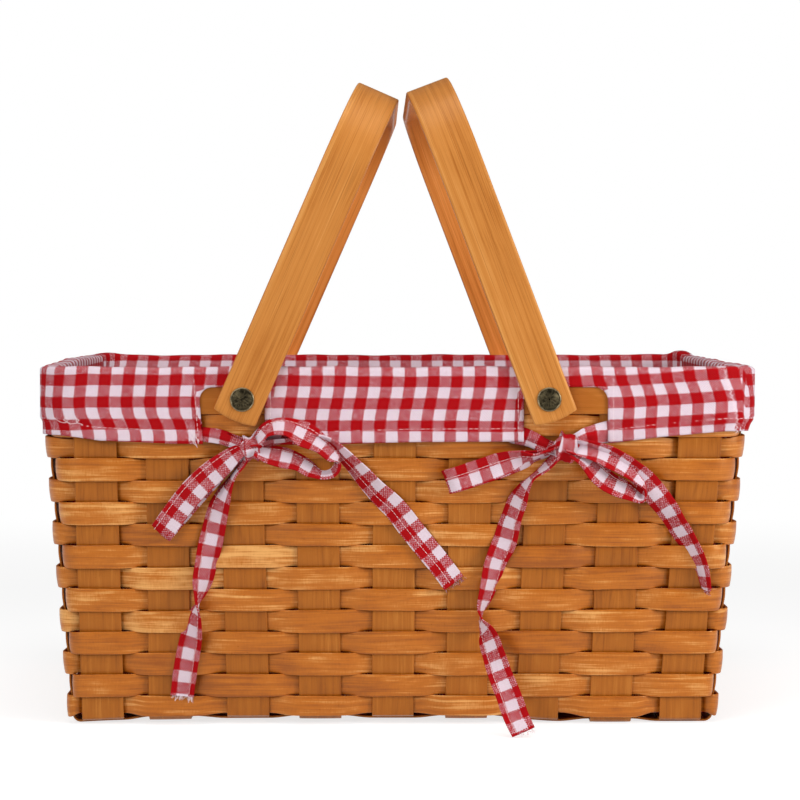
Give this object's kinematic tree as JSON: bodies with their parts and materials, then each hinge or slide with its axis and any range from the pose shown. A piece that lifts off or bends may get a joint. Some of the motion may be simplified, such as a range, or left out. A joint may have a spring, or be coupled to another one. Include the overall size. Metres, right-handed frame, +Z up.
{
  "type": "woven picnic basket",
  "caption": "Rectangular woven wood-chip picnic basket with two folding bent-wood handles on rivets and a tied gingham cotton liner with bows.",
  "frame": {"origin": "centre of the resting face under the woven floor", "axes": "+X along the long side to the right as pictured, +Y to the back, +Z up; the pictured side faces -Y"},
  "size_m": [0.4148, 0.345, 0.3794],
  "materials": {
    "chip_wood": "satin",
    "hoop_wood": "satin",
    "bent_wood": "satin varnish",
    "antique_brass": "aged",
    "gingham_cotton": "woven cotton"
  },
  "bodies": {
    "basket": {"crosswise_stake_1": "chip_wood", "crosswise_stake_2": "chip_wood", "crosswise_stake_3": "chip_wood", "crosswise_stake_4": "chip_wood", "crosswise_stake_5": "chip_wood", "crosswise_stake_6": "chip_wood", "crosswise_stake_7": "chip_wood", "crosswise_stake_8": "chip_wood", "crosswise_stake_9": "chip_wood", "lengthwise_stake_1": "chip_wood", "lengthwise_stake_2": "chip_wood", "lengthwise_stake_3": "chip_wood", "lengthwise_stake_4": "chip_wood", "lengthwise_stake_5": "chip_wood", "lengthwise_stake_6": "chip_wood", "weaver_01": "chip_wood", "weaver_02": "chip_wood", "weaver_03": "chip_wood", "weaver_04": "chip_wood", "weaver_05": "chip_wood", "weaver_06": "chip_wood", "weaver_07": "chip_wood", "weaver_08": "chip_wood", "weaver_09": "chip_wood", "weaver_10": "chip_wood", "weaver_11": "chip_wood", "weaver_12": "chip_wood", "weaver_13": "chip_wood", "weaver_14": "chip_wood", "outer_rim_hoop": "hoop_wood", "inner_rim_hoop": "hoop_wood", "liner": "gingham_cotton", "front_left_rivet": "antique_brass", "front_right_rivet": "antique_brass", "back_left_rivet": "antique_brass", "back_right_rivet": "antique_brass", "front_left_bow_knot": "gingham_cotton", "front_left_bow_flat_loop": "gingham_cotton", "front_left_bow_open_loop": "gingham_cotton", "front_left_bow_first_tail": "gingham_cotton", "front_left_bow_second_tail": "gingham_cotton", "front_right_bow_knot": "gingham_cotton", "front_right_bow_flat_loop": "gingham_cotton", "front_right_bow_open_loop": "gingham_cotton", "front_right_bow_first_tail": "gingham_cotton", "front_right_bow_second_tail": "gingham_cotton", "back_left_bow_knot": "gingham_cotton", "back_left_bow_flat_loop": "gingham_cotton", "back_left_bow_open_loop": "gingham_cotton", "back_left_bow_first_tail": "gingham_cotton", "back_left_bow_second_tail": "gingham_cotton", "back_right_bow_knot": "gingham_cotton", "back_right_bow_flat_loop": "gingham_cotton", "back_right_bow_open_loop": "gingham_cotton", "back_right_bow_first_tail": "gingham_cotton", "back_right_bow_second_tail": "gingham_cotton"},
    "left_bail": {"left_handle": "bent_wood"},
    "right_bail": {"right_handle": "bent_wood"}
  },
  "joints": [
    {"name": "left_handle_hinge", "type": "hinge", "parent": "basket", "child": "left_bail", "pos_m": [-0.088, 0, 0.1913], "axis": [0, -1, 0], "range_deg": [0, 163], "deforming": ["back_left_bow_knot", "back_left_bow_open_loop"]},
    {"name": "right_handle_hinge", "type": "hinge", "parent": "basket", "child": "right_bail", "pos_m": [0.088, 0, 0.1913], "axis": [0, 1, 0], "range_deg": [0, 160], "deforming": ["front_right_bow_knot", "front_right_bow_open_loop"]}
  ]
}
